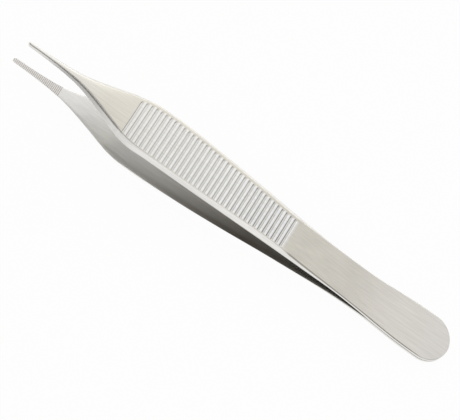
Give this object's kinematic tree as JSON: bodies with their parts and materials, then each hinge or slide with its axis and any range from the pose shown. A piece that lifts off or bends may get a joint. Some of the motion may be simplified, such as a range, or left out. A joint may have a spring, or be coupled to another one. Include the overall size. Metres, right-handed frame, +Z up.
{
  "type": "thumb forceps",
  "caption": "Spring tweezers of brushed stainless steel: slim serrated jaws, broad cross-ribbed thumb grips and two arms welded flat at a rounded heel.",
  "frame": {"origin": "centre of the footprint on the surface the forceps lies on", "axes": "+X along the length from the jaw tips to the heel, +Y across the arms, +Z up, with the forceps lying on the back of its lower arm"},
  "size_m": [0.12, 0.0136, 0.013],
  "materials": {
    "steel": "satin brushed along the length"
  },
  "bodies": {
    "root": {"upper_arm": "steel", "lower_arm": "steel"}
  },
  "joints": []
}
